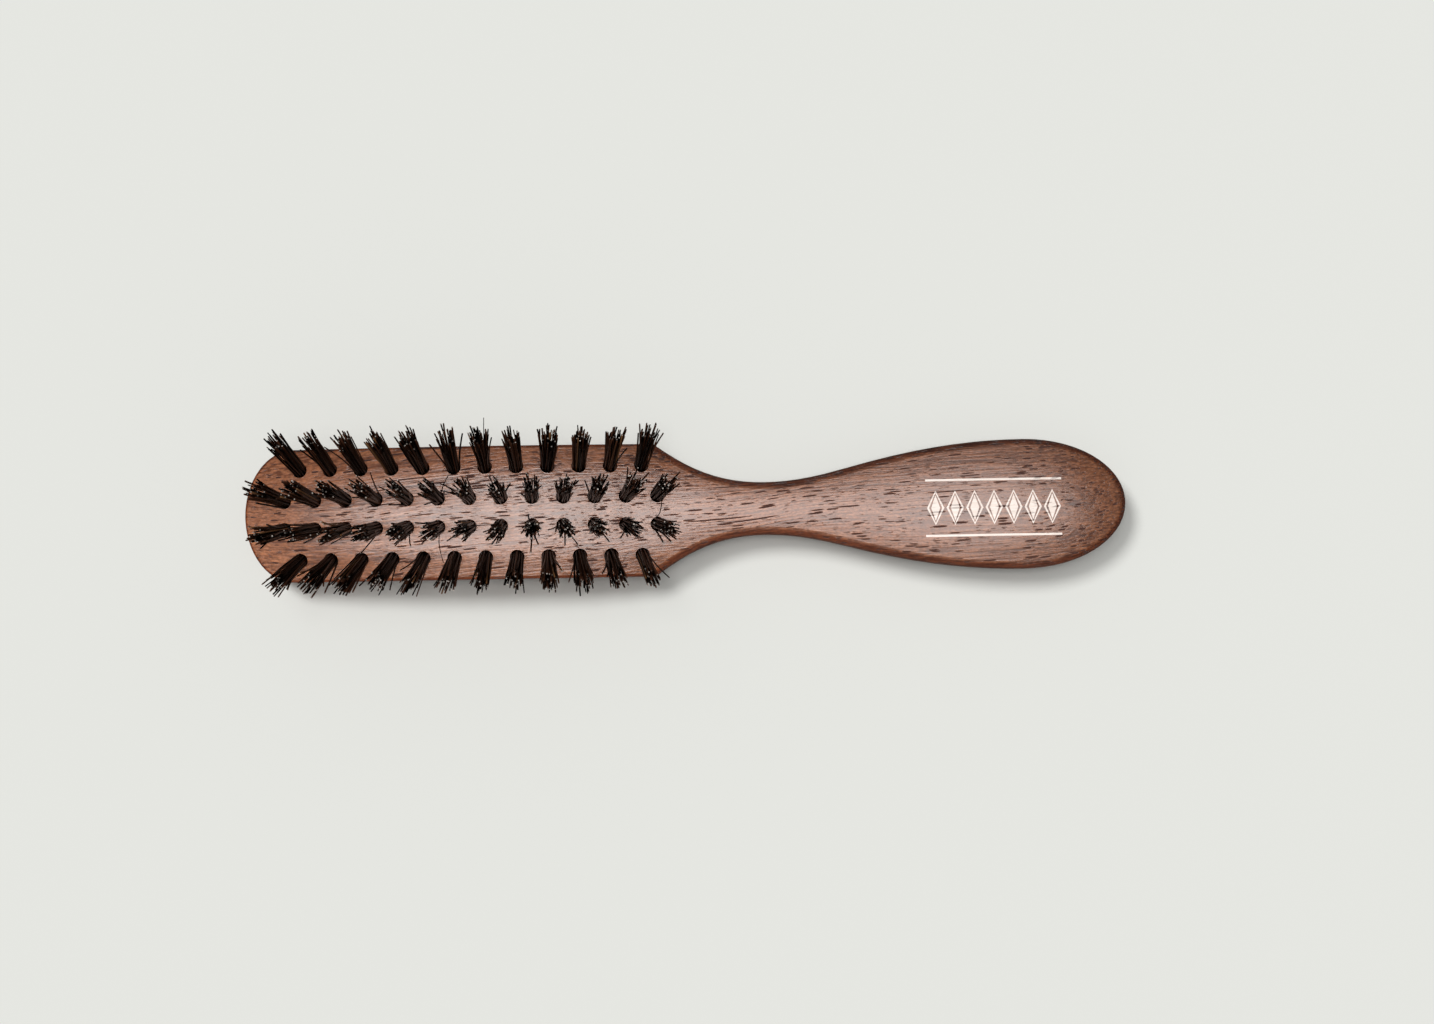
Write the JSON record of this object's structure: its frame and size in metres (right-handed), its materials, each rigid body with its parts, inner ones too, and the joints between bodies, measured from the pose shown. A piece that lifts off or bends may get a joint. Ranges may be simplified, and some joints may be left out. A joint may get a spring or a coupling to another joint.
{
  "type": "beard brush",
  "caption": "Hardwood beard brush with a straight, crowned head, a waisted neck, a paddle handle and rows of dark natural bristle tufts.",
  "frame": {"origin": "middle of the flat back that the brush lies on", "axes": "+X along the brush from the head to the handle, +Y across it, +Z out of the back towards the bristles"},
  "size_m": [0.1756, 0.0336, 0.0305],
  "materials": {
    "varnished_hardwood": "satin varnish",
    "boar_bristle": "natural bristle",
    "anchor_wire": "drawn flat wire"
  },
  "bodies": {
    "root": {"wooden_body": "varnished_hardwood", "tuft_a01": "boar_bristle", "tuft_a02": "boar_bristle", "tuft_a03": "boar_bristle", "tuft_a04": "boar_bristle", "tuft_a05": "boar_bristle", "tuft_a06": "boar_bristle", "tuft_a07": "boar_bristle", "tuft_a08": "boar_bristle", "tuft_a09": "boar_bristle", "tuft_a10": "boar_bristle", "tuft_a11": "boar_bristle", "tuft_a12": "boar_bristle", "tuft_b01": "boar_bristle", "tuft_b02": "boar_bristle", "tuft_b03": "boar_bristle", "tuft_b04": "boar_bristle", "tuft_b05": "boar_bristle", "tuft_b06": "boar_bristle", "tuft_b07": "boar_bristle", "tuft_b08": "boar_bristle", "tuft_b09": "boar_bristle", "tuft_b10": "boar_bristle", "tuft_b11": "boar_bristle", "tuft_b12": "boar_bristle", "tuft_b13": "boar_bristle", "tuft_c01": "boar_bristle", "tuft_c02": "boar_bristle", "tuft_c03": "boar_bristle", "tuft_c04": "boar_bristle", "tuft_c05": "boar_bristle", "tuft_c06": "boar_bristle", "tuft_c07": "boar_bristle", "tuft_c08": "boar_bristle", "tuft_c09": "boar_bristle", "tuft_c10": "boar_bristle", "tuft_c11": "boar_bristle", "tuft_c12": "boar_bristle", "tuft_c13": "boar_bristle", "tuft_d01": "boar_bristle", "tuft_d02": "boar_bristle", "tuft_d03": "boar_bristle", "tuft_d04": "boar_bristle", "tuft_d05": "boar_bristle", "tuft_d06": "boar_bristle", "tuft_d07": "boar_bristle", "tuft_d08": "boar_bristle", "tuft_d09": "boar_bristle", "tuft_d10": "boar_bristle", "tuft_d11": "boar_bristle", "tuft_d12": "boar_bristle", "anchors_row_a": "anchor_wire", "anchors_row_b": "anchor_wire", "anchors_row_c": "anchor_wire", "anchors_row_d": "anchor_wire"}
  },
  "joints": []
}
